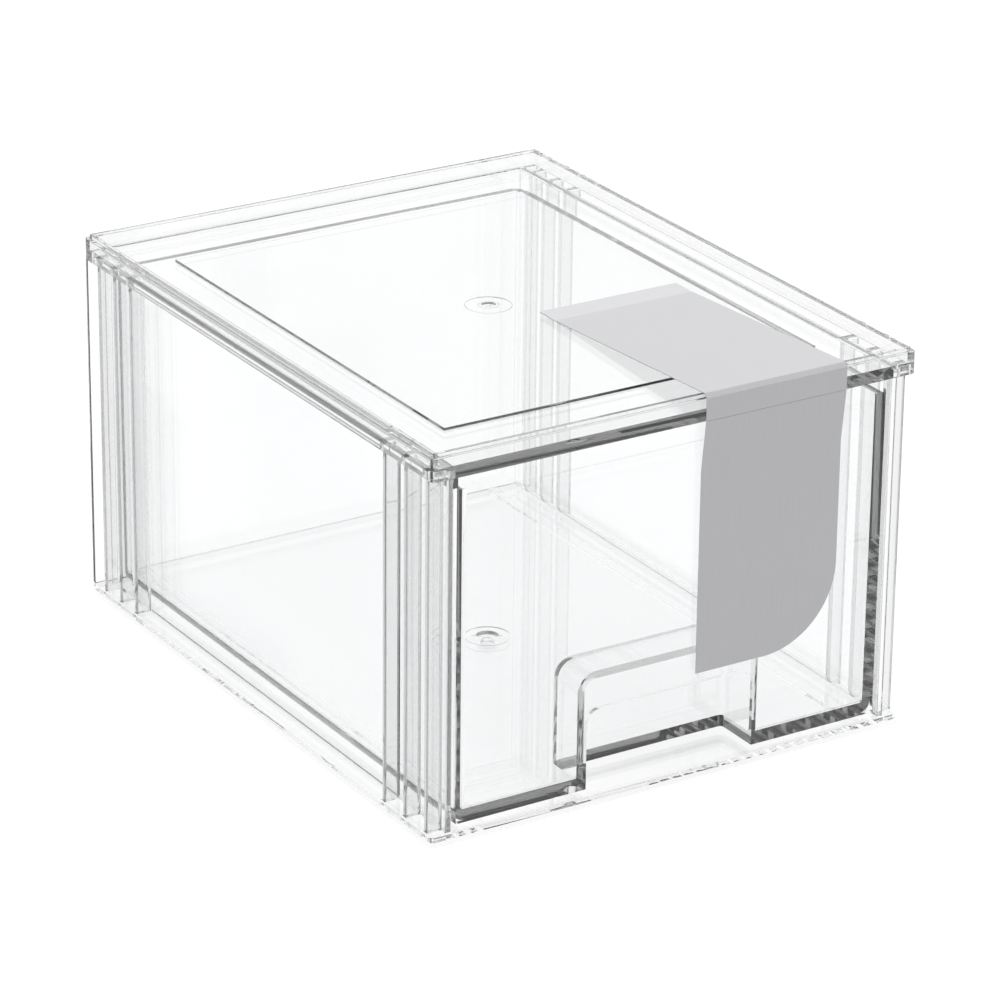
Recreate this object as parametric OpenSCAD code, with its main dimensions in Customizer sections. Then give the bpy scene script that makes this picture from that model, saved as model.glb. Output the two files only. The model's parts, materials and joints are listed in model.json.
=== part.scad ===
// Stackable drawer box: a clear case put together from five moulded panels,
// with one moulded drawer that slides out of the front.
// Millimetres, +Z up, front towards -Y, origin at the centre of the underside.

/* [Case] */
// Overall width of the case
body_w = 150; // [130:1:220]
// Overall depth of the case, front to back
body_d = 190; // [160:1:280]
// Overall height of the case
body_h = 110; // [90:1:160]
// Radius of the upright corners of the top and base panels
corner_r = 1.5; // [1:0.1:4]

/* [Top and base panels] */
// Thickness of the top panel's plate
plate_t = 3; // [2.4:0.1:4]
// Height of the rim above the top panel's plate
tray_depth = 4.3; // [4.2:0.1:7]
// Thickness of the top panel's rim
rim_t = 2.2; // [2:0.1:3]
// Height of the raised field in the middle of the top panel
field_h = 0.7; // [0.3:0.1:1.2]
// Distance from the case's side to the raised field
field_margin_x = 17; // [12:0.5:30]
// Distance from the case's front or back to the raised field
field_margin_y = 22.5; // [12:0.5:40]
// Height of the stacking lip on top of the rim
lip_h = 1; // [0.6:0.1:1.6]
// Thickness of the stacking lip
lip_t = 1.1; // [0.8:0.1:1.4]
// Height of the base panel's upper face
base_h = 3; // [2.8:0.1:5]
// Thickness of the base panel's skirt
skirt_t = 0.95; // [0.7:0.05:1]
// Room above the stacking lip of the unit below
stack_gap = 0.2; // [0.1:0.1:0.4]

/* [Side and back panels] */
// Thickness of a side panel's wall
web_t = 1.8; // [1.6:0.1:3]
// Distance from the case's front to the front end of the side panels
web_inset = 1.2; // [0.8:0.1:2]
// Distance from the case's side to the outer ends of the fins
fin_inset = 0.8; // [0.7:0.1:1.5]
// Reach of the fins beyond the wall
fin_reach = 4.3; // [3:0.1:6]
// Thickness of a fin
fin_t = 1.6; // [1:0.1:2.4]
// Radius of the fins' lower outer corners
fin_r = 1; // [0.4:0.1:1.5]
// Distance from the wall's front end to the first fin's outer face
front_fin_first = 2.2; // [2:0.1:6]
// Distance from one front fin to the next
front_fin_pitch = 10.6; // [6:0.1:14]
// Distance from the back panel to the first rear fin's outer face
rear_fin_first = 4.4; // [2:0.1:6]
// Distance from one rear fin to the next
rear_fin_pitch = 9.3; // [6:0.1:14]
// Thickness of the back panel
back_t = 1.6; // [1.4:0.1:2.4]
// Distance that the back panel stands back from the edge of the top and base panels
back_inset = 0.2; // [0.1:0.1:0.6]

/* [Panel joints] */
// Height of the posts' tongues, which stand in the top panel's pockets
tongue_h = 2; // [0.8:0.1:2.2]
// Height of the walls' tongues, which stand in the top panel's grooves
web_tongue_h = 0.9; // [0.5:0.1:1.8]
// Height of the back panel's tongues
back_tongue_h = 0.8; // [0.5:0.1:1.2]
// Thickness of the back panel's tongues
back_tongue_t = 1; // [0.8:0.1:1]
// Distance from a side panel to the end of the back panel's tongues
back_tongue_end = 3; // [1:0.5:20]
// Clearance round tongues and panel edges
fit_gap = 0.2; // [0.1:0.05:0.3]
// Gap between the upright panels and the top and base panels
seat_gap = 0.05; // [0.03:0.01:0.1]

/* [Drawer] */
// Thickness of the drawer's side and back walls
drawer_wall = 2.2; // [1.8:0.1:3]
// Thickness of the drawer's front
front_t = 2.4; // [2:0.1:3.2]
// Thickness of the drawer's floor
floor_t = 2.8; // [2:0.1:3.4]
// Distance that the drawer's front stands back from the front of the case
front_inset = 1.6; // [1.2:0.1:3]
// Gap between the drawer and the side panels
side_gap = 1.6; // [0.4:0.1:2]
// Gap between the drawer's back and the back panel
back_gap = 2.3; // [0.4:0.1:4]
// Gap between the drawer's front and the top panel
top_gap = 0.6; // [0.4:0.1:2]
// Drop from the top of the drawer's front to its side walls
wall_drop = 4.1; // [0:0.1:12]
// Radius of the drawer's rear corners and lower edges, outside
drawer_r = 3.2; // [2.6:0.1:5]
// Radius of the drawer's corners and lower edges, inside
cavity_r = 1.2; // [0.8:0.1:3]
// Height of the runners that carry the drawer
runner_h = 1.2; // [0.8:0.1:2]
// Width of a runner
runner_w = 3; // [2:0.5:6]
// Distance from the centre of the case to a runner
runner_x = 58; // [40:1:60]
// Running gap between the runners and the drawer
run_gap = 0.2; // [0.1:0.05:0.3]

/* [Finger pull] */
// Width of the opening
pull_w = 52.8; // [40:0.2:70]
// Height of the opening above the drawer's underside
pull_h = 22.6; // [18:0.2:30]
// Radius of the opening's upper corners
pull_r = 4; // [2:0.5:8]
// Height of the hood above the opening
hood_rise = 8.4; // [4:0.2:14]
// Depth of the finger space, from the drawer's front to the hood's back
hood_d = 14; // [10:0.5:22]
// Thickness of the hood
hood_wall = 2.2; // [1.8:0.1:3]
// Radius of the hood's upper corners, inside
hood_r = 3.5; // [3:0.5:9]
// Radius of the hood's rear edges, outside
hood_edge_r = 3.2; // [2.9:0.1:5]

/* [Gate marks] */
// Diameter of the shallow disc round a gate mark
gate_disc_d = 13; // [8:0.5:18]
// Depth of that disc
gate_disc_h = 0.3; // [0.2:0.05:0.4]
// Diameter of the hollow in the middle of the drawer's disc
drawer_gate_d = 7; // [3:0.5:7.5]
// Diameter of the hollow in the middle of the top and base panels' discs
panel_gate_d = 4.4; // [3:0.1:5]
// Depth of a hollow, as a share of its diameter
gate_share = 0.17; // [0.1:0.01:0.2]

/* [Label] */
// Width of the label band
label_w = 44.6; // [30:0.2:60]
// Distance from the case's left side to the label
label_left = 82.6; // [10:0.2:85]
// Thickness of the label
label_t = 0.2; // [0.15:0.05:0.3]
// Length of the label on the top panel, from the front edge
label_top_len = 81; // [40:1:100]
// Length of the label's end that lies flat on the raised field
label_flat = 8; // [4:1:20]
// Drop of the label down the front, from the top edge
label_drop = 80; // [40:1:81]
// Radius of the label's lower right corner
label_r = 23; // [5:1:28]
// Height over which the label leans from the case's front to the drawer's
label_lean = 14; // [6:1:30]

/* [Hidden] */
$fn = 64;
// Overlap of a cut past the face that it opens
eps = 0.5;
// Levels of the case
plate_top = body_h - tray_depth;
plate_under = plate_top - plate_t;
field_top = plate_top + field_h;
shoulder = body_h - lip_h;
base_under = lip_h + stack_gap;
panel_low = base_h + seat_gap;
panel_high = plate_under - seat_gap;
// Planes of the side and back panels
fin_out = body_w / 2 - fin_inset;
web_out = fin_out - fin_reach;
side_in = web_out - web_t;
web_front = body_d / 2 - web_inset;
back_out = body_d / 2 - back_inset;
back_in = back_out - back_t;
web_rear = back_in - seat_gap;
// Outer faces of a corner's fins, from the one nearest the corner
front_fins = [for (i = [0:2]) web_front - front_fin_first - i * front_fin_pitch];
rear_fins = [for (i = [0:2]) back_in - rear_fin_first - i * rear_fin_pitch];
tongue_top = plate_under + tongue_h;
back_tongue_x = side_in - back_tongue_end;
// Planes of the drawer
drawer_out = side_in - side_gap;
drawer_in = drawer_out - drawer_wall;
drawer_front = -body_d / 2 + front_inset;
front_in = drawer_front + front_t;
drawer_back = back_in - back_gap;
cavity_back = drawer_back - drawer_wall;
drawer_under = base_h + runner_h + run_gap;
floor_top = drawer_under + floor_t;
front_top = plate_under - top_gap;
wall_top = front_top - wall_drop;
// Finger pull
opening_top = drawer_under + pull_h;
hood_top = opening_top + hood_rise;
hood_back = drawer_front + hood_d;
// Label
label_x = -body_w / 2 + label_left;
seam = plate_under;
label_end = body_h - label_drop;

// A block with rounded upright edges, centred on the origin.
module rounded_block(w, d, h, r) {
    linear_extrude(h) rounded_square(w, d, r);
}

// A rectangle with rounded corners, centred on the origin.
module rounded_square(w, d, r) {
    square([w - 2 * r, d], center = true);
    square([w, d - 2 * r], center = true);
    for (x = [-1, 1], y = [-1, 1])
        translate([x * (w / 2 - r), y * (d / 2 - r)]) circle(r);
}

// A block between two corner points.
module slab(low, high) {
    translate(low) cube(high - low);
}

// An upright panel outline with two rounded upper corners, w wide and h high.
module arch_outline(w, h, r) {
    translate([-w / 2, 0]) square([w, h - r]);
    translate([-w / 2 + r, 0]) square([w - 2 * r, h]);
    for (x = [-1, 1])
        translate([x * (w / 2 - r), h - r]) circle(r);
}

// The arch stood up in the XZ plane, from y = front to y = back.
module arch_block(w, h, r, front, back) {
    translate([0, back, 0]) rotate([90, 0, 0])
        linear_extrude(back - front) arch_outline(w, h, r);
}

// The mark that the moulding gate leaves on the underside of a plate: a shallow disc
// with a round hollow in its middle.
module gate_cut(z, d) {
    depth = gate_share * d;
    r = (d * d / 4 + depth * depth) / (2 * depth);
    translate([0, 0, z]) {
        translate([0, 0, -eps]) cylinder(d = gate_disc_d, h = gate_disc_h + eps);
        translate([0, 0, gate_disc_h + depth - r]) sphere(r);
    }
}

// The right side's wall from low to high, grown by room on all sides.
module web(low, high, room) {
    slab(
        [side_in - room, -web_front - room, low],
        [web_out + room, web_rear + room, high]
    );
}

// The right side's front post and rear post from low to high, grown by room on all sides.
module posts(low, high, room) {
    mirror([0, 1, 0]) post(front_fins, web_front, low, high, room);
    post(rear_fins, web_rear, low, high, room);
}

// A post: the wall's end and three fins with rounded lower corners.
module post(fins, end, low, high, room) {
    reach = fin_out + room - side_in;
    slab(
        [side_in - room, fins[2] - fin_t - room, low],
        [web_out + room, end + room, high]
    );
    for (face = fins)
        translate([side_in, face + room, low]) rotate([90, 0, 0])
            linear_extrude(fin_t + 2 * room) {
                translate([0, fin_r]) square([reach, high - low - fin_r]);
                square([reach - fin_r, high - low]);
                translate([reach - fin_r, fin_r]) circle(fin_r);
            }
}

// The children and their mirror image on the left.
module both_sides() {
    for (x = [0, 1]) mirror([x, 0, 0]) children();
}

// The back panel's tongues, grown by room on all sides.
module back_tongues(room) {
    half_w = back_tongue_x + room;
    slab(
        [-half_w, back_in - room, base_h - back_tongue_h - room],
        [half_w, back_in + back_tongue_t + room, plate_under + back_tongue_h + room]
    );
}

module top_panel() color([0.93, 0.95, 0.96, 0.35]) {
    difference() {
        union() {
            translate([0, 0, plate_under])
                rounded_block(body_w, body_d, shoulder - plate_under, corner_r);
            translate([0, 0, plate_under])
                rounded_block(
                    body_w - 2 * (rim_t - lip_t), body_d - 2 * (rim_t - lip_t),
                    body_h - plate_under, corner_r / 2
                );
        }
        difference() {
            slab(
                [-body_w / 2 + rim_t, -body_d / 2 + rim_t, plate_top],
                [body_w / 2 - rim_t, body_d / 2 - rim_t, body_h + eps]
            );
            slab(
                [-body_w / 2 + field_margin_x, -body_d / 2 + field_margin_y, plate_top - eps],
                [body_w / 2 - field_margin_x, body_d / 2 - field_margin_y, field_top]
            );
        }
        both_sides() {
            posts(plate_under - fin_r, tongue_top + fit_gap, fit_gap);
            web(plate_under - eps, plate_under + web_tongue_h + fit_gap, fit_gap);
        }
        back_tongues(fit_gap);
        gate_cut(plate_under, panel_gate_d);
    }
}

module base_panel() color([0.93, 0.95, 0.96, 0.35]) {
    difference() {
        rounded_block(body_w, body_d, base_h, corner_r);
        translate([0, 0, -eps])
            rounded_block(
                body_w - 2 * skirt_t, body_d - 2 * skirt_t, base_under + eps,
                corner_r / 2
            );
        both_sides() posts(base_under - fin_r, base_h + eps, fit_gap);
        back_tongues(fit_gap);
        gate_cut(base_under, panel_gate_d);
    }
    for (x = [-1, 1])
        slab(
            [x * runner_x - runner_w / 2, drawer_front + front_t, base_h],
            [x * runner_x + runner_w / 2, back_in - fit_gap, base_h + runner_h]
        );
}

// The side panel stands on the right; the left one is its mirror image.
module side_panel() {
    web(panel_low, plate_under + web_tongue_h, 0);
    posts(base_under, tongue_top, 0);
}

module left_side_panel() color([0.9, 0.93, 0.95, 0.35]) mirror([1, 0, 0]) side_panel();

module right_side_panel() color([0.9, 0.93, 0.95, 0.35]) side_panel();

module back_panel() color([0.92, 0.94, 0.96, 0.35]) {
    back_w = body_w / 2 - back_inset;
    slab([-back_w, back_in, panel_low], [back_w, back_out, panel_high]);
    back_tongues(0);
}

// Half of a trough, from y = 0 to a rounded end, with rounded lower edges.
module half_trough(half_w, length, low, high, r) {
    slab([-half_w, 0, low + r], [half_w, length - r, high]);
    slab([-half_w + r, 0, low], [half_w - r, length - r, high]);
    slab([-half_w + r, 0, low + r], [half_w - r, length, high]);
    translate([-half_w + r, length - r, low + r]) rotate([0, 90, 0])
        cylinder(r = r, h = 2 * (half_w - r));
    for (x = [-1, 1])
        translate([x * (half_w - r), 0, low + r]) {
            rotate([-90, 0, 0]) cylinder(r = r, h = length - r);
            translate([0, length - r, 0]) cylinder(r = r, h = high - low - r);
            translate([0, length - r, 0]) sphere(r);
        }
}

// A hood: an arch from y = front to y = back, with its rear edges rounded by edge_r.
module hood_block(w, h, r, front, back, edge_r) {
    arch_block(w, h, r, front, back - edge_r);
    arch_block(w - 2 * edge_r, h - edge_r, r - edge_r, front, back);
    translate([-w / 2 + r, back - edge_r, h - edge_r]) rotate([0, 90, 0])
        cylinder(r = edge_r, h = w - 2 * r);
    for (x = [0, 1])
        mirror([x, 0, 0]) {
            translate([w / 2 - edge_r, back - edge_r, 0]) cylinder(r = edge_r, h = h - r);
            translate([w / 2 - r, back - edge_r, h - r]) rotate([90, 0, 0])
                rotate_extrude(angle = 90) intersection() {
                    translate([r - edge_r, 0]) circle(edge_r);
                    translate([0, -edge_r]) square([r, 2 * edge_r]);
                }
        }
}

module drawer() color([0.9, 0.94, 0.96, 0.35]) {
    cavity_mid = (front_in + cavity_back) / 2;
    difference() {
        union() {
            difference() {
                translate([0, drawer_front, 0])
                    half_trough(
                        drawer_out, drawer_back - drawer_front, drawer_under, wall_top, drawer_r
                    );
                for (y = [0, 1])
                    translate([0, cavity_mid, 0]) mirror([0, y, 0]) translate([0, -eps, 0])
                        half_trough(
                            drawer_in, (cavity_back - front_in) / 2 + eps, floor_top,
                            wall_top + eps, cavity_r
                        );
            }
            slab(
                [-drawer_out, drawer_front, drawer_under],
                [drawer_out, front_in, front_top]
            );
            translate([0, 0, drawer_under])
                hood_block(
                    pull_w + 2 * hood_wall, hood_top + hood_wall - drawer_under,
                    hood_r + hood_wall, drawer_front, hood_back + hood_wall, hood_edge_r
                );
        }
        translate([0, 0, drawer_under - eps])
            hood_block(
                pull_w, hood_top - drawer_under + eps, hood_r, front_in, hood_back,
                hood_edge_r - hood_wall
            );
        translate([0, 0, drawer_under - eps])
            arch_block(
                pull_w, opening_top - drawer_under + eps, pull_r,
                drawer_front - eps, front_in + eps
            );
        gate_cut(drawer_under, drawer_gate_d);
    }
}

// A sheet that follows a run of [y, z] points, with its faces label_t apart.
module label_sheet(inner, outer) {
    translate([label_x, 0, 0]) rotate([90, 0, 90])
        linear_extrude(label_w) polygon(concat(inner, outer));
}

// The part of the band that stays on the case: down the ramp from the rim to the field.
module label_top() color([0.78, 0.79, 0.8]) {
    front = -body_d / 2;
    label_sheet(
        [
            [front + label_top_len, field_top],
            [front + label_top_len - label_flat, field_top],
            [front + rim_t, body_h],
            [front + rim_t - lip_t, body_h],
            [front, shoulder],
            [front, seam]
        ],
        [
            [front - label_t, seam],
            [front - label_t, shoulder + label_t / 2],
            [front + rim_t - lip_t - label_t / 2, body_h + label_t],
            [front + rim_t + label_t / 2, body_h + label_t],
            [front + label_top_len - label_flat, field_top + label_t],
            [front + label_top_len, field_top + label_t]
        ]
    );
}

// The part of the band that rides on the drawer's front.
module label_front() color([0.7, 0.71, 0.72]) {
    lean_top = seam - seat_gap;
    lean_end = front_top - label_lean;
    intersection() {
        label_sheet(
            [
                [drawer_front, label_end],
                [drawer_front, lean_end],
                [-body_d / 2, front_top],
                [-body_d / 2, lean_top]
            ],
            [
                [-body_d / 2 - label_t, lean_top],
                [-body_d / 2 - label_t, front_top],
                [drawer_front - label_t, lean_end],
                [drawer_front - label_t, label_end]
            ]
        );
        translate([label_x, 0, 0]) rotate([90, 0, 0])
            translate([0, 0, -drawer_front - eps])
                linear_extrude(front_inset + label_t + 2 * eps) {
                    translate([0, label_end]) square([label_w - label_r, seam - label_end]);
                    translate([0, label_end + label_r])
                        square([label_w, seam - label_end - label_r]);
                    translate([label_w - label_r, label_end + label_r]) circle(label_r);
                }
    }
}

top_panel();
base_panel();
left_side_panel();
right_side_panel();
back_panel();
drawer();
label_top();
label_front();
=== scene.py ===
"""Clear stackable drawer box.

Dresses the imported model: every clear moulding gets softened edges and a
see-through plastic, the band gets a satin silver film, and a plain pale
studio is set up round them. Metres, +Z up, front towards -Y.
"""
import json
import math

import bmesh
import bpy
from bpy.props import (
    FloatProperty,
    FloatVectorProperty,
    IntProperty,
    PointerProperty,
)
from mathutils import Matrix, Vector

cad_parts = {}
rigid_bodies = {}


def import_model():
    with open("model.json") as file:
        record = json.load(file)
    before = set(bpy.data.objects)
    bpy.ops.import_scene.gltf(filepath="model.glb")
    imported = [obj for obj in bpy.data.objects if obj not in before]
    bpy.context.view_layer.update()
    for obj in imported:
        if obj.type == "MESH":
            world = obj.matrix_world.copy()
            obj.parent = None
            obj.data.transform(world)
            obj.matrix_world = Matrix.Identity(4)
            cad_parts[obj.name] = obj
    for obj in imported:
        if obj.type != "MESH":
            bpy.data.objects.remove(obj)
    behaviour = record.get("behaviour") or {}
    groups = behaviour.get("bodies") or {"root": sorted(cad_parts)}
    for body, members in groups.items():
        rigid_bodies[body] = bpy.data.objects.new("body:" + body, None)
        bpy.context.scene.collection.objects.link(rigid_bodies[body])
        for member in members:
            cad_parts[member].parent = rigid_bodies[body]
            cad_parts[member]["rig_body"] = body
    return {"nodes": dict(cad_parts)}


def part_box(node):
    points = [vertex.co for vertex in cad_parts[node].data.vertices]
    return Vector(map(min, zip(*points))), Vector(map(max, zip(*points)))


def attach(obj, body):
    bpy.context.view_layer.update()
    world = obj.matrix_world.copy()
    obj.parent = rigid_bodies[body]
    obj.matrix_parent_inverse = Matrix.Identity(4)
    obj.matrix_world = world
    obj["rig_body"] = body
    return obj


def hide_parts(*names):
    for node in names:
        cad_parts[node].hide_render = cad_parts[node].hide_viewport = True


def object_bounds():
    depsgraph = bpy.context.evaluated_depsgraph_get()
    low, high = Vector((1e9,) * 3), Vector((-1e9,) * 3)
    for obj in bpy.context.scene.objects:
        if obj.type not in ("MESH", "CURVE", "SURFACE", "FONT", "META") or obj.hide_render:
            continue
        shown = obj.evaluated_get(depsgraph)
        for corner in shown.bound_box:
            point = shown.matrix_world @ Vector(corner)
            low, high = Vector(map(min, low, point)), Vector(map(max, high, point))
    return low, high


bl_info = {
    "name": "Clear Drawer Box",
    "version": (1, 0, 0),
    "blender": (4, 5, 0),
    "location": "3D View > Sidebar > Drawer Box",
    "description": "Dresses a clear stackable drawer box in its studio",
    "category": "Object",
}

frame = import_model()
cad_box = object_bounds()

# Meshes: corners nearer than the distance are one corner, faces that meet
# below the flat angle are one face, and edges above the sharp angle soften
MERGE_DISTANCE = 1e-6
FLAT_ANGLE = 0.01
SHARP_ANGLE = math.radians(40)
FLAT_FACE_WEIGHT = 100

# Plastic: its faint clouds, the streaks in the painted shade on its fins, and the light in
# its shadow
CLOUDS_PER_METRE = 14.0
CLOUD_TINT = (0.985, 0.992, 0.995, 1.0)
STREAKS_PER_METRE = 700.0
STREAK_STRETCH = 0.01
STREAK_DEPTH = 0.12
SHADOW_LIGHT = 0.95

# Film: how far its grain runs on, and what it does to colour, roughness and
# height
GRAIN_STRETCH = 0.03
GRAIN_SHADE = 0.07
GRAIN_ROUGHNESS = 0.06
GRAIN_DEPTH = 0.000005

# Studio: the sky's greys from below to straight up, the lamp and the lens
SKY_GREYS = ((0.0, 1.0), (0.45, 1.0), (0.75, 0.1), (0.9, 0.1), (1.0, 0.3))
FLOOR_GREY = 0.9
LAMP_PLACE = (0.625, 0.125, 2.8)
LAMP_AIM = (0.0, 0.0, 0.05)
SENSOR_WIDTH = 36.0
VIEW_END = 100.0
LIGHT_BOUNCES = {
    "max_bounces": 96,
    "transmission_bounces": 96,
    "glossy_bounces": 64,
    "transparent_max_bounces": 48,
}


# ---------------------------------------------------------------- settings


class DRAWERBOX_PG_plastic(bpy.types.PropertyGroup):
    """Sizes and optics of the clear mouldings, and the shade painted on them."""

    edge_radius: FloatProperty(
        name="Edge radius",
        description="Radius of the softened edges of the case's mouldings",
        default=0.0004, min=0.00005, max=0.0004, precision=5, unit="LENGTH",
    )
    drawer_edge_radius: FloatProperty(
        name="Drawer edge radius",
        description="Radius of the softened edges of the drawer",
        default=0.0002, min=0.00005, max=0.0004, precision=5, unit="LENGTH",
    )
    edge_segments: IntProperty(
        name="Edge segments",
        description="Faces across a softened edge",
        default=2, min=1, max=4,
    )
    ior: FloatProperty(
        name="Refraction",
        description="Index of refraction of the plastic",
        default=1.58, min=1.4, max=1.7,
    )
    plate_density: FloatProperty(
        name="Plate absorption",
        description="Light lost along a metre inside the top panel",
        default=7.0, min=0.0, max=20.0,
    )
    base_density: FloatProperty(
        name="Base absorption",
        description="Light lost along a metre inside the base panel",
        default=0.5, min=0.0, max=20.0,
    )
    wall_density: FloatProperty(
        name="Wall absorption",
        description="Light lost along a metre inside the side and back panels",
        default=5.0, min=0.0, max=20.0,
    )
    drawer_density: FloatProperty(
        name="Drawer absorption",
        description="Light lost along a metre inside the drawer",
        default=7.0, min=0.0, max=20.0,
    )
    fin_reach: FloatProperty(
        name="Fin reach",
        description="Reach of the corner fins beyond the side panels' walls",
        default=0.0043, min=0.001, max=0.01, precision=4, unit="LENGTH",
    )
    # Painted shade: the fins' faces and their narrow outer ends get a darker plastic
    # colour, in place of the grey that refraction in the fins gives them
    painted_fin_shade: FloatProperty(
        name="Fin shade",
        description="Light that the fins' faces let through",
        default=0.84, min=0.0, max=1.0, subtype="FACTOR",
    )
    painted_fin_end_shade: FloatProperty(
        name="Fin end shade",
        description="Light that the fins' narrow outer ends let through",
        default=0.4, min=0.0, max=1.0, subtype="FACTOR",
    )
    # Painted shade: the outer rims of the top and base panels get a slightly darker
    # plastic colour, in place of the grey that refraction at their rounded edges gives
    # them
    rim_width: FloatProperty(
        name="Rim width",
        description="Width of the shaded rim of the top and base panels",
        default=0.0023, min=0.0005, max=0.01, precision=4, unit="LENGTH",
    )
    painted_rim_shade: FloatProperty(
        name="Rim shade",
        description="Light that this rim's faces let through",
        default=0.94, min=0.0, max=1.0, subtype="FACTOR",
    )
    # Painted shade: a dark ring on the underside of the top panel round its gate mark, in
    # place of the dark edge that the mark's wider hollow shows
    painted_gate_ring_radius: FloatProperty(
        name="Gate blush radius",
        description="Radius of the dull ring round the top panel's gate mark",
        default=0.0028, min=0.001, max=0.01, precision=4, unit="LENGTH",
    )
    painted_gate_ring_width: FloatProperty(
        name="Gate blush width",
        description="Width of that ring",
        default=0.0011, min=0.0002, max=0.004, precision=4, unit="LENGTH",
    )
    painted_gate_ring_shade: FloatProperty(
        name="Gate blush shade",
        description="Light that the ring lets through",
        default=0.55, min=0.0, max=1.0, subtype="FACTOR",
    )
    wave_length: FloatProperty(
        name="Wave length",
        description="Length of the faint waves that cooling leaves in a wall",
        default=0.035, min=0.005, max=0.2, precision=4, unit="LENGTH",
    )
    wave_depth: FloatProperty(
        name="Wave depth",
        description="Depth of those waves",
        default=0.000004, min=0.0, max=0.00005, precision=6, unit="LENGTH",
    )


class DRAWERBOX_PG_band(bpy.types.PropertyGroup):
    """Looks of the silver band."""

    colour: FloatVectorProperty(
        name="Film colour",
        description="Colour of the silver film",
        default=(0.425, 0.425, 0.435), min=0.0, max=1.0,
        size=3, subtype="COLOR",
    )
    metallic: FloatProperty(
        name="Metallic",
        description="Share of metal flake in the film",
        default=0.25, min=0.0, max=1.0, subtype="FACTOR",
    )
    roughness: FloatProperty(
        name="Roughness",
        description="Roughness of the film between its grain lines",
        default=0.4, min=0.1, max=1.0, subtype="FACTOR",
    )
    grain: FloatProperty(
        name="Grain spacing",
        description="Distance between the fine grain lines of the film",
        default=0.0004, min=0.0001, max=0.002, precision=5, unit="LENGTH",
    )
    margin: FloatProperty(
        name="Bare margin",
        description="Length of the paler margin at the band's rear end",
        default=0.008, min=0.0, max=0.03, precision=4, unit="LENGTH",
    )
    margin_lift: FloatProperty(
        name="Margin lift",
        description="How much paler that margin is than the rest of the film",
        default=1.12, min=1.0, max=1.5,
    )
    edge_radius: FloatProperty(
        name="Edge radius",
        description="Radius of the film's softened edges",
        default=0.00004, min=0.00001, max=0.00008, precision=6, unit="LENGTH",
    )


class DRAWERBOX_PG_stage(bpy.types.PropertyGroup):
    """Floor, light and camera."""

    floor_size: FloatProperty(
        name="Floor size",
        description="Side of the square floor",
        default=20.0, min=2.0, max=50.0, unit="LENGTH",
    )
    floor_glow: FloatProperty(
        name="Floor glow",
        description="Share of the floor's white that doesn't take shadows",
        default=0.85, min=0.0, max=1.0, subtype="FACTOR",
    )
    lamp_power: FloatProperty(
        name="Lamp power",
        description="Power of the soft lamp above the box",
        default=128.0, min=0.0, max=500.0, unit="POWER",
    )
    lamp_size: FloatProperty(
        name="Lamp size",
        description="Side of the soft lamp",
        default=2.0, min=0.05, max=5.0, unit="LENGTH",
    )
    azimuth: FloatProperty(
        name="Camera azimuth",
        description="Direction of the camera round the box, 0 in front of it",
        default=math.radians(-32.0431401), subtype="ANGLE",
    )
    elevation: FloatProperty(
        name="Camera elevation",
        description="Angle of the camera above the floor",
        default=math.radians(22.9754045), subtype="ANGLE",
    )
    roll: FloatProperty(
        name="Camera roll",
        description="Turn of the camera about its line of sight",
        default=math.radians(0.635884738), subtype="ANGLE",
    )
    distance: FloatProperty(
        name="Camera distance",
        description="Distance from the camera to the middle of the box",
        default=1.34169598, min=0.3, max=10.0, precision=4, unit="LENGTH",
    )
    aim_right: FloatProperty(
        name="Aim right",
        description="Distance that the camera stands to the right of its line",
        default=0.0036726135, precision=5, unit="LENGTH",
    )
    aim_up: FloatProperty(
        name="Aim up",
        description="Distance that the camera stands above its line",
        default=-0.00702816122, precision=5, unit="LENGTH",
    )
    lens: FloatProperty(
        name="Focal length",
        description="Focal length on a 36 mm sensor, in millimetres",
        default=174.13, min=20.0, max=400.0,
    )


# ---------------------------------------------------------------- pieces


def merged_copy(node, name):
    """A copy of a CAD node's mesh, its loose triangles joined into faces."""
    if node not in frame["nodes"]:
        raise RuntimeError(f"the frame has no node {node}")
    work = bmesh.new()
    work.from_mesh(frame["nodes"][node].data)
    bmesh.ops.remove_doubles(work, verts=work.verts[:], dist=MERGE_DISTANCE)
    bmesh.ops.dissolve_limit(
        work, angle_limit=FLAT_ANGLE, verts=work.verts[:], edges=work.edges[:]
    )
    return new_object(work, name)


def new_object(work, name):
    """An object at the origin with the mesh that a bmesh holds."""
    mesh = bpy.data.meshes.new(name)
    work.to_mesh(mesh)
    work.free()
    piece = bpy.data.objects.new(name, mesh)
    bpy.context.scene.collection.objects.link(piece)
    return piece


def soften_edges(piece, radius, segments):
    """Rounds a piece's sharp edges and keeps its flat faces flat to light."""
    for face in piece.data.polygons:
        face.use_smooth = True
    bevel = piece.modifiers.new("Softened edges", "BEVEL")
    bevel.width = radius
    bevel.segments = segments
    bevel.limit_method = "ANGLE"
    bevel.angle_limit = SHARP_ANGLE
    even = piece.modifiers.new("Flat faces first", "WEIGHTED_NORMAL")
    even.weight = FLAT_FACE_WEIGHT
    even.keep_sharp = True


def place_on_body(piece, node):
    """Lets a piece stand for its CAD node and ride where the node rides."""
    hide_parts(node)
    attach(piece, frame["nodes"][node]["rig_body"])


def mould(settings, node, name, radius, density, *painted_shades):
    """Makes the clear moulding that stands for a CAD node."""
    piece = merged_copy(node, name)
    soften_edges(piece, radius, settings.edge_segments)
    piece.data.materials.append(
        clear_plastic("Clear plastic, " + name, settings, density, painted_shades)
    )
    place_on_body(piece, node)


# ---------------------------------------------------------------- shader parts


def grey(level):
    """An opaque grey, as the colour sockets take it."""
    return (level, level, level, 1.0)


def add_node(tree, kind, **values):
    """A node with its sockets set by name; spaces in names are written _."""
    node = tree.nodes.new(kind)
    for key, value in values.items():
        node.inputs[key.replace("_", " ")].default_value = value
    return node


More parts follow.
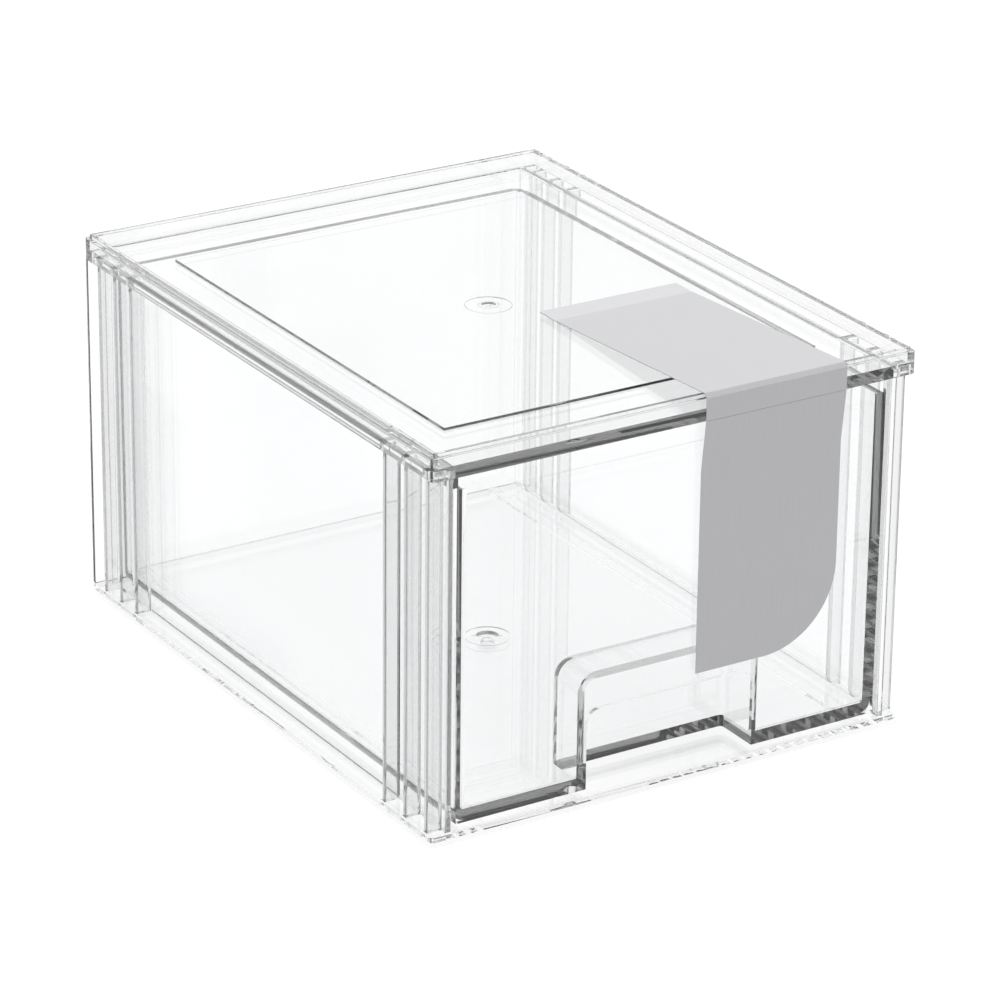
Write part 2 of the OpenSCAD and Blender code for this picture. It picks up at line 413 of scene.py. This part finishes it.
def feed(tree, socket, term):
    """Gives a socket another node's result, or a plain value."""
    if isinstance(term, bpy.types.NodeSocket):
        tree.links.new(term, socket)
    else:
        socket.default_value = term


def calculate(tree, operation, *terms):
    """The result of a Math node whose terms are numbers or other results."""
    node = tree.nodes.new("ShaderNodeMath")
    node.operation = operation
    for socket, term in zip(node.inputs, terms):
        feed(tree, socket, term)
    return node.outputs[0]


def where(tree, mask, shade, elsewhere=1.0):
    """The shade where the mask is 1, and the other number where it is 0."""
    mix = tree.nodes.new("ShaderNodeMix")
    feed(tree, mix.inputs["Factor"], mask)
    feed(tree, mix.inputs["A"], elsewhere)
    feed(tree, mix.inputs["B"], shade)
    return mix.outputs["Result"]


def place_on_axes(tree):
    """A node that splits a point's place in its object into X, Y and Z."""
    place = tree.nodes.new("ShaderNodeTexCoord")
    split = tree.nodes.new("ShaderNodeSeparateXYZ")
    tree.links.new(place.outputs["Object"], split.inputs["Vector"])
    return split


def stretched_noise(tree, stretch, **values):
    """Noise on Object coordinates that are squeezed along some axes."""
    place = tree.nodes.new("ShaderNodeTexCoord")
    squeeze = add_node(tree, "ShaderNodeMapping", Scale=stretch)
    noise = add_node(tree, "ShaderNodeTexNoise", **values)
    tree.links.new(place.outputs["Object"], squeeze.inputs["Vector"])
    tree.links.new(squeeze.outputs["Vector"], noise.inputs["Vector"])
    return noise


def multiplied(tree, first, second, factor=1.0):
    """The colour that results when one colour multiplies another."""
    mix = tree.nodes.new("ShaderNodeMix")
    mix.data_type = "RGBA"
    mix.blend_type = "MULTIPLY"
    feed(tree, mix.inputs["Factor"], factor)
    feed(tree, mix.inputs["A"], first)
    feed(tree, mix.inputs["B"], second)
    return mix.outputs["Result"]


def new_group(name, numbers, outputs):
    """A shader node group, with the nodes for what goes in and comes out."""
    group = bpy.data.node_groups.new(name, "ShaderNodeTree")
    for label in numbers:
        group.interface.new_socket(
            label, in_out="INPUT", socket_type="NodeSocketFloat"
        )
    for label, kind in outputs.items():
        group.interface.new_socket(label, in_out="OUTPUT", socket_type=kind)
    entry = group.nodes.new("NodeGroupInput")
    leave = group.nodes.new("NodeGroupOutput")
    return group, entry, leave


def use_group(tree, group, **values):
    """A node that uses a node group, with its sockets set by name."""
    node = tree.nodes.new("ShaderNodeGroup")
    node.node_tree = group
    for key, value in values.items():
        node.inputs[key.replace("_", " ")].default_value = value
    return node


def cooling_waves_group():
    """Faint waves and cloudiness that moulding leaves in clear plastic."""
    name = "Cooling waves"
    if name in bpy.data.node_groups:
        return bpy.data.node_groups[name]
    group, entry, leave = new_group(
        name, ["Waves per metre"],
        {"Height": "NodeSocketFloat", "Tint": "NodeSocketColor"},
    )
    place = group.nodes.new("ShaderNodeTexCoord")
    waves = add_node(group, "ShaderNodeTexNoise", Detail=1.0, Roughness=0.35)
    clouds = add_node(
        group, "ShaderNodeTexNoise", Scale=CLOUDS_PER_METRE, Detail=2.0
    )
    tint = group.nodes.new("ShaderNodeMix")
    tint.data_type = "RGBA"
    tint.inputs["A"].default_value = grey(1.0)
    tint.inputs["B"].default_value = CLOUD_TINT
    link = group.links.new
    link(place.outputs["Object"], waves.inputs["Vector"])
    link(place.outputs["Object"], clouds.inputs["Vector"])
    link(entry.outputs["Waves per metre"], waves.inputs["Scale"])
    link(waves.outputs["Fac"], leave.inputs["Height"])
    link(clouds.outputs["Fac"], tint.inputs["Factor"])
    link(tint.outputs["Result"], leave.inputs["Tint"])
    return group


def painted_fin_shade_group():
    """Painted shade on the corner fins, with upright streaks, and darker on their narrow
    outer ends.
    """
    name = "Drawn fins"
    if name in bpy.data.node_groups:
        return bpy.data.node_groups[name]
    group, entry, leave = new_group(
        name, ["Fins from", "Ends from", "Fin shade", "End shade"],
        {"Shade": "NodeSocketFloat"},
    )
    out = calculate(group, "ABSOLUTE", place_on_axes(group).outputs["X"])
    on_fin = calculate(group, "GREATER_THAN", out, entry.outputs["Fins from"])
    on_end = calculate(group, "GREATER_THAN", out, entry.outputs["Ends from"])
    streaks = stretched_noise(
        group, (1.0, 1.0, STREAK_STRETCH), Scale=STREAKS_PER_METRE, Detail=3.0
    )
    vary = add_node(
        group, "ShaderNodeMapRange", To_Min=-STREAK_DEPTH, To_Max=STREAK_DEPTH
    )
    group.links.new(streaks.outputs["Fac"], vary.inputs["Value"])
    streaked = calculate(
        group, "ADD", entry.outputs["Fin shade"], vary.outputs["Result"]
    )
    fins = where(group, on_fin, streaked)
    shade = where(group, on_end, entry.outputs["End shade"], elsewhere=fins)
    group.links.new(shade, leave.inputs["Shade"])
    return group


def painted_rim_shade_group():
    """Painted shade on a panel's rim, a darker band along its outer edges."""
    name = "Panel rim"
    if name in bpy.data.node_groups:
        return bpy.data.node_groups[name]
    group, entry, leave = new_group(
        name, ["X from", "Y from", "Rim shade"], {"Shade": "NodeSocketFloat"}
    )
    place = place_on_axes(group)
    past = []
    for axis in "XY":
        out = calculate(group, "ABSOLUTE", place.outputs[axis])
        start = entry.outputs[axis + " from"]
        past.append(calculate(group, "GREATER_THAN", out, start))
    on_rim = calculate(group, "MAXIMUM", *past)
    shade = where(group, on_rim, entry.outputs["Rim shade"])
    group.links.new(shade, leave.inputs["Shade"])
    return group


def painted_gate_ring_group():
    """Painted shade: a dark ring round the gate mark on the underside of a plate."""
    name = "Gate blush"
    if name in bpy.data.node_groups:
        return bpy.data.node_groups[name]
    group, entry, leave = new_group(
        name, ["Radius", "Half width", "Below", "Ring shade"],
        {"Shade": "NodeSocketFloat"},
    )
    place = place_on_axes(group)
    flat = group.nodes.new("ShaderNodeCombineXYZ")
    reach = group.nodes.new("ShaderNodeVectorMath")
    reach.operation = "LENGTH"
    ring = add_node(group, "ShaderNodeMapRange", To_Min=1.0, To_Max=0.0)
    ring.interpolation_type = "SMOOTHSTEP"
    link = group.links.new
    link(place.outputs["X"], flat.inputs["X"])
    link(place.outputs["Y"], flat.inputs["Y"])
    link(flat.outputs["Vector"], reach.inputs[0])
    off_ring = calculate(
        group, "SUBTRACT", reach.outputs["Value"], entry.outputs["Radius"]
    )
    link(calculate(group, "ABSOLUTE", off_ring), ring.inputs["Value"])
    link(entry.outputs["Half width"], ring.inputs["From Max"])
    under = calculate(
        group, "LESS_THAN", place.outputs["Z"], entry.outputs["Below"]
    )
    on_ring = calculate(group, "MULTIPLY", ring.outputs["Result"], under)
    shade = where(group, on_ring, entry.outputs["Ring shade"])
    link(shade, leave.inputs["Shade"])
    return group


def painted_fin_shade(settings):
    """Makes the node that paints shade on the corner fins of a side panel."""
    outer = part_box("right_side_panel")[1][0]
    return lambda tree: use_group(
        tree, painted_fin_shade_group(),
        Fins_from=outer - settings.fin_reach + settings.edge_radius,
        Ends_from=outer - settings.edge_radius,
        Fin_shade=settings.painted_fin_shade,
        End_shade=settings.painted_fin_end_shade,
    )


def painted_rim_shade(settings, node):
    """Makes the node that paints shade on the rim of the top or base panel."""
    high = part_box(node)[1]
    return lambda tree: use_group(
        tree, painted_rim_shade_group(),
        X_from=high[0] - settings.rim_width,
        Y_from=high[1] - settings.rim_width,
        Rim_shade=settings.painted_rim_shade,
    )


def painted_gate_shade(settings):
    """Makes the node that paints a shaded ring round the top panel's gate mark."""
    low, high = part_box("top_panel")
    return lambda tree: use_group(
        tree, painted_gate_ring_group(),
        Radius=settings.painted_gate_ring_radius,
        Half_width=settings.painted_gate_ring_width / 2,
        Below=(low[2] + high[2]) / 2,
        Ring_shade=settings.painted_gate_ring_shade,
    )


# ---------------------------------------------------------------- materials


def new_material(name):
    """A material, with its node tree and its shader node."""
    material = bpy.data.materials.new(name)
    material.use_nodes = True
    tree = material.node_tree
    return material, tree, tree.nodes["Principled BSDF"]


def clear_plastic(name, settings, density, painted_shades):
    """Polished clear plastic that lets lamps through and greys over length.

    Each function in painted_shades makes a node in the material's tree that paints shade
    on parts of the surface by darkening its colour, and returns it.
    """
    material, tree, shader = new_material(name)
    link = tree.links.new
    # The colour for an export that leaves the node groups out
    shader.inputs["Base Color"].default_value = grey(1.0)
    shader.inputs["Transmission Weight"].default_value = 1.0
    shader.inputs["Roughness"].default_value = 0.0
    shader.inputs["IOR"].default_value = settings.ior
    waves = use_group(
        tree, cooling_waves_group(), Waves_per_metre=1.0 / settings.wave_length
    )
    bump = add_node(tree, "ShaderNodeBump", Distance=settings.wave_depth)
    link(waves.outputs["Height"], bump.inputs["Height"])
    link(bump.outputs["Normal"], shader.inputs["Normal"])
    # The cloud tint, darkened where the painted shades fall
    tint = waves.outputs["Tint"]
    for shade in painted_shades:
        tint = multiplied(tree, tint, shade(tree).outputs["Shade"])
    link(tint, shader.inputs["Base Color"])
    shadow = add_node(
        tree, "ShaderNodeBsdfTransparent", Color=grey(SHADOW_LIGHT)
    )
    path = tree.nodes.new("ShaderNodeLightPath")
    either = tree.nodes.new("ShaderNodeMixShader")
    out = tree.nodes["Material Output"]
    link(path.outputs["Is Shadow Ray"], either.inputs["Fac"])
    link(shader.outputs["BSDF"], either.inputs[1])
    link(shadow.outputs["BSDF"], either.inputs[2])
    link(either.outputs["Shader"], out.inputs["Surface"])
    inside = add_node(
        tree, "ShaderNodeVolumeAbsorption", Color=grey(0.0), Density=density
    )
    link(inside.outputs["Volume"], out.inputs["Volume"])
    return material


def silver_film(settings):
    """Satin silver film with a fine grain and a paler margin at its rear."""
    material, tree, shader = new_material("Satin silver film")
    link = tree.links.new
    shader.inputs["Metallic"].default_value = settings.metallic
    grain = stretched_noise(
        tree, (1.0, GRAIN_STRETCH, GRAIN_STRETCH),
        Scale=1.0 / settings.grain, Detail=3.0, Roughness=0.6,
    )
    shade = tree.nodes.new("ShaderNodeMix")
    shade.data_type = "RGBA"
    dark = [(1 - GRAIN_SHADE) * c for c in settings.colour]
    light = [min(1.0, (1 + GRAIN_SHADE) * c) for c in settings.colour]
    shade.inputs["A"].default_value = (*dark, 1.0)
    shade.inputs["B"].default_value = (*light, 1.0)
    link(grain.outputs["Fac"], shade.inputs["Factor"])
    rear_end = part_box("label_top")[1][1]
    on_margin = calculate(
        tree, "GREATER_THAN", place_on_axes(tree).outputs["Y"],
        rear_end - settings.margin,
    )
    colour = multiplied(
        tree, shade.outputs["Result"], grey(settings.margin_lift), on_margin
    )
    link(colour, shader.inputs["Base Color"])
    rough = add_node(
        tree, "ShaderNodeMapRange",
        To_Min=settings.roughness - GRAIN_ROUGHNESS,
        To_Max=settings.roughness + GRAIN_ROUGHNESS,
    )
    link(grain.outputs["Fac"], rough.inputs["Value"])
    link(rough.outputs["Result"], shader.inputs["Roughness"])
    bump = add_node(tree, "ShaderNodeBump", Distance=GRAIN_DEPTH)
    link(grain.outputs["Fac"], bump.inputs["Height"])
    link(bump.outputs["Normal"], shader.inputs["Normal"])
    return material


# ---------------------------------------------------------------- operators


class DRAWERBOX_OT_plates(bpy.types.Operator):
    """Makes the rimmed top panel and the base panel"""

    bl_idname = "drawer_box.plates"
    bl_label = "Top and Base Panels"

    def execute(self, context):
        settings = context.scene.drawer_box_plastic
        mould(
            settings, "top_panel", "top_moulding",
            settings.edge_radius, settings.plate_density,
            painted_rim_shade(settings, "top_panel"), painted_gate_shade(settings),
        )
        mould(
            settings, "base_panel", "base_moulding",
            settings.edge_radius, settings.base_density,
            painted_rim_shade(settings, "base_panel"),
        )
        return {"FINISHED"}


class DRAWERBOX_OT_walls(bpy.types.Operator):
    """Makes the two side panels with their corner posts, and the back panel"""

    bl_idname = "drawer_box.walls"
    bl_label = "Side and Back Panels"

    def execute(self, context):
        settings = context.scene.drawer_box_plastic
        radius, density = settings.edge_radius, settings.wall_density
        for side in ("left", "right"):
            mould(
                settings, side + "_side_panel", side + "_side_moulding",
                radius, density, painted_fin_shade(settings),
            )
        mould(settings, "back_panel", "back_sheet", radius, density)
        return {"FINISHED"}


class DRAWERBOX_OT_drawer(bpy.types.Operator):
    """Makes the drawer with its finger recess"""

    bl_idname = "drawer_box.drawer"
    bl_label = "Drawer"

    def execute(self, context):
        settings = context.scene.drawer_box_plastic
        mould(
            settings, "drawer", "drawer_moulding",
            settings.drawer_edge_radius, settings.drawer_density,
        )
        return {"FINISHED"}


class DRAWERBOX_OT_band(bpy.types.Operator):
    """Makes the silver band, in one part on the case and one on the drawer"""

    bl_idname = "drawer_box.band"
    bl_label = "Silver Band"

    def execute(self, context):
        settings = context.scene.drawer_box_band
        film = silver_film(settings)
        for node, name in (
            ("label_top", "band_on_case"), ("label_front", "band_on_drawer")
        ):
            piece = merged_copy(node, name)
            soften_edges(piece, settings.edge_radius, segments=1)
            piece.data.materials.append(film)
            place_on_body(piece, node)
        return {"FINISHED"}


class DRAWERBOX_OT_stage(bpy.types.Operator):
    """Makes the pale floor, the soft light and the camera"""

    bl_idname = "drawer_box.stage"
    bl_label = "Studio"

    def execute(self, context):
        scene = context.scene
        settings = scene.drawer_box_stage
        make_floor(settings)
        make_sky(scene)
        make_lamp(settings)
        make_camera(scene, settings)
        set_light_bounces(scene)
        return {"FINISHED"}


# ---------------------------------------------------------------- studio


def make_floor(settings):
    """A white floor that keeps a faint shadow."""
    work = bmesh.new()
    bmesh.ops.create_grid(
        work, x_segments=1, y_segments=1, size=settings.floor_size / 2
    )
    floor = new_object(work, "floor")
    material = bpy.data.materials.new("Pale floor")
    material.use_nodes = True
    tree = material.node_tree
    tree.nodes.remove(tree.nodes["Principled BSDF"])
    matt = add_node(tree, "ShaderNodeBsdfDiffuse", Color=grey(FLOOR_GREY))
    glow = add_node(tree, "ShaderNodeEmission", Strength=1.0)
    both = add_node(tree, "ShaderNodeMixShader", Fac=settings.floor_glow)
    tree.links.new(matt.outputs["BSDF"], both.inputs[1])
    tree.links.new(glow.outputs["Emission"], both.inputs[2])
    tree.links.new(
        both.outputs["Shader"], tree.nodes["Material Output"].inputs["Surface"]
    )
    floor.data.materials.append(material)


def make_sky(scene):
    """White walls all round, with a darker ceiling above them."""
    world = bpy.data.worlds.new("Studio")
    scene.world = world
    world.use_nodes = True
    tree = world.node_tree
    place = tree.nodes.new("ShaderNodeTexCoord")
    split = tree.nodes.new("ShaderNodeSeparateXYZ")
    ramp = tree.nodes.new("ShaderNodeValToRGB")
    sky = tree.nodes["Background"]
    tree.links.new(place.outputs["Generated"], split.inputs["Vector"])
    tree.links.new(split.outputs["Z"], ramp.inputs["Fac"])
    tree.links.new(ramp.outputs["Color"], sky.inputs["Color"])
    stops = ramp.color_ramp.elements
    for height, level in SKY_GREYS[1:-1]:
        stops.new(height)
    for stop, (height, level) in zip(stops, SKY_GREYS):
        stop.position = height
        stop.color = grey(level)


def make_lamp(settings):
    """One soft lamp high above the box's right side, kept out of mirrors."""
    light = bpy.data.lights.new("soft_lamp", "AREA")
    light.size = settings.lamp_size
    light.energy = settings.lamp_power
    lamp = bpy.data.objects.new("soft_lamp", light)
    bpy.context.scene.collection.objects.link(lamp)
    lamp.location = LAMP_PLACE
    aim = Vector(LAMP_AIM) - lamp.location
    lamp.rotation_euler = aim.to_track_quat("-Z", "Y").to_euler()
    lamp.visible_camera = False
    lamp.visible_glossy = False
    lamp.visible_transmission = False


def make_camera(scene, settings):
    """A long lens that looks down on the drawer's left front corner."""
    side, rise = settings.azimuth, settings.elevation
    back = Vector((
        math.sin(side) * math.cos(rise),
        -math.cos(side) * math.cos(rise),
        math.sin(rise),
    ))
    level = Vector((math.cos(side), math.sin(side), 0.0))
    upward = back.cross(level)
    turn = settings.roll
    right = math.cos(turn) * level + math.sin(turn) * upward
    up = math.cos(turn) * upward - math.sin(turn) * level
    low, high = cad_box
    middle = Vector((0.0, 0.0, (low[2] + high[2]) / 2))
    place = (
        middle + back * settings.distance
        + right * settings.aim_right + up * settings.aim_up
    )
    lens = bpy.data.cameras.new("camera")
    lens.sensor_width = SENSOR_WIDTH
    lens.lens = settings.lens
    lens.clip_end = VIEW_END
    camera = bpy.data.objects.new("camera", lens)
    scene.collection.objects.link(camera)
    camera.matrix_world = Matrix.LocRotScale(
        place, Matrix((right, up, back)).transposed(), None
    )
    scene.camera = camera
    scene.view_settings.view_transform = "Standard"


def set_light_bounces(scene):
    """Lets light run on inside the clear walls, as it does in real ones."""
    for key, count in LIGHT_BOUNCES.items():
        setattr(scene.cycles, key, count)


# ---------------------------------------------------------------- sidebar


class DRAWERBOX_PT_panel(bpy.types.Panel):
    """Lists the box's makers and their settings"""

    bl_idname = "DRAWERBOX_PT_panel"
    bl_label = "Drawer Box"
    bl_space_type = "VIEW_3D"
    bl_region_type = "UI"
    bl_category = "Drawer Box"

    def draw(self, context):
        layout = self.layout
        for operator in MAKERS:
            layout.operator(operator.bl_idname)
        for name in SETTINGS:
            column = layout.column()
            column.label(text=name.replace("_", " ").title())
            group = getattr(context.scene, name)
            for key in group.__annotations__:
                column.prop(group, key)


MAKERS = (
    DRAWERBOX_OT_plates,
    DRAWERBOX_OT_walls,
    DRAWERBOX_OT_drawer,
    DRAWERBOX_OT_band,
    DRAWERBOX_OT_stage,
)
SETTINGS = {
    "drawer_box_plastic": DRAWERBOX_PG_plastic,
    "drawer_box_band": DRAWERBOX_PG_band,
    "drawer_box_stage": DRAWERBOX_PG_stage,
}


def register():
    for group in SETTINGS.values():
        bpy.utils.register_class(group)
    for name, group in SETTINGS.items():
        setattr(bpy.types.Scene, name, PointerProperty(type=group))
    for operator in MAKERS:
        bpy.utils.register_class(operator)
    bpy.utils.register_class(DRAWERBOX_PT_panel)


def unregister():
    bpy.utils.unregister_class(DRAWERBOX_PT_panel)
    for operator in reversed(MAKERS):
        bpy.utils.unregister_class(operator)
    for name in SETTINGS:
        delattr(bpy.types.Scene, name)
    for group in SETTINGS.values():
        bpy.utils.unregister_class(group)


def main():
    """Makes every piece and the studio."""
    register()
    bpy.ops.drawer_box.plates()
    bpy.ops.drawer_box.walls()
    bpy.ops.drawer_box.drawer()
    bpy.ops.drawer_box.band()
    bpy.ops.drawer_box.stage()


if __name__ == "__main__":
    main()
